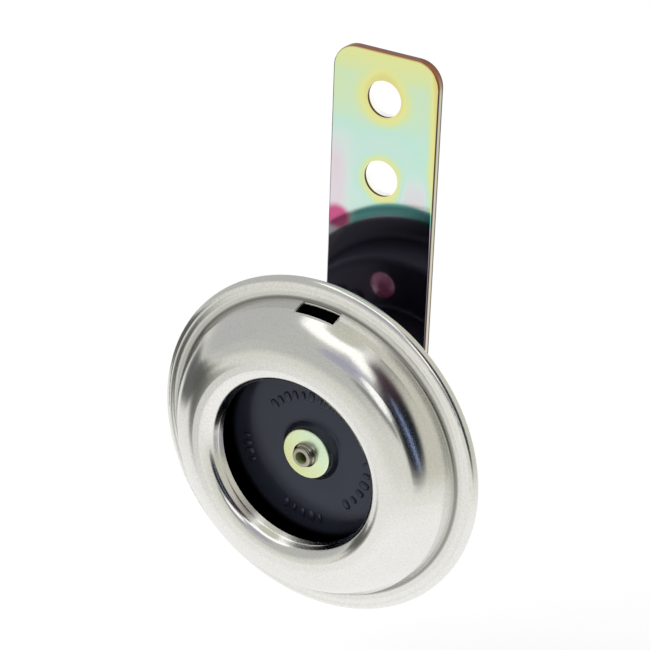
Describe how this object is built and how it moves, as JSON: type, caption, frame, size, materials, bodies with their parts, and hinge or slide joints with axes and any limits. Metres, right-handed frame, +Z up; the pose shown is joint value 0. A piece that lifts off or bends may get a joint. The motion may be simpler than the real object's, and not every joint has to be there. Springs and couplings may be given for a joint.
{
  "type": "disc horn",
  "caption": "Round electric disc horn for a vehicle, with a domed bright front cover, a stepped black housing, blade terminals and a drilled strap bracket.",
  "frame": {"origin": "middle between the strap's two bolt holes, on the strap's rear face, where it bolts to the vehicle", "axes": "+Z up along the strap, +Y to the back along the bolts, away from the mouth, +X to the right of someone looking into the mouth"},
  "size_m": [0.0698, 0.0424, 0.1083],
  "materials": {
    "cover_plating": "bright plating on drawn sheet steel, lightly worn",
    "diaphragm_steel": "dark blued spring steel, satin",
    "gasket_board": "pressed gasket paper",
    "washer_plating": "yellow-green zinc plating",
    "turned_steel": "turned and plated steel",
    "housing_enamel": "black stoving enamel, semi-gloss",
    "bobbin_plastic": "natural nylon",
    "enamelled_wire": "enamelled copper wire",
    "pressed_board": "brown phenolic board",
    "spring_strip": "bronze spring strip",
    "plated_strip": "zinc-plated steel strip",
    "plated_steel": "clear zinc plating",
    "nut_plating": "yellow-green zinc plating",
    "contact_metal": "tungsten contact",
    "bush_brass": "turned brass",
    "sealing_lacquer": "red sealing lacquer, glossy",
    "terminal_tin": "tinned brass",
    "lead_cover": "plastic sleeve on stranded wire",
    "bracket_plating": "iridescent yellow-green zinc plating"
  },
  "bodies": {
    "root": {"front_cover": "cover_plating", "front_gasket": "gasket_board", "diaphragm": "diaphragm_steel", "rear_gasket": "gasket_board", "front_washer": "washer_plating", "rear_washer": "washer_plating", "armature": "turned_steel", "housing": "housing_enamel", "pole_core": "turned_steel", "coil_bobbin": "bobbin_plastic", "coil_winding": "enamelled_wire", "contact_block": "turned_steel", "lower_insulator": "pressed_board", "moving_contact_arm": "spring_strip", "middle_insulator": "pressed_board", "fixed_contact_arm": "plated_strip", "upper_insulator": "pressed_board", "contact_rivets": "plated_steel", "moving_contact": "contact_metal", "fixed_contact": "contact_metal", "screw_bush": "bush_brass", "adjusting_screw": "plated_steel", "screw_seal": "sealing_lacquer", "outer_terminal_insulator": "pressed_board", "inner_terminal_insulator": "pressed_board", "left_terminal": "terminal_tin", "right_terminal": "terminal_tin", "terminal_rivets": "plated_steel", "live_lead": "lead_cover", "coil_lead": "lead_cover", "return_lead": "lead_cover", "spacer_washer": "plated_steel", "bracket": "bracket_plating", "lock_washer": "plated_steel", "stud_nut": "nut_plating"}
  },
  "joints": []
}
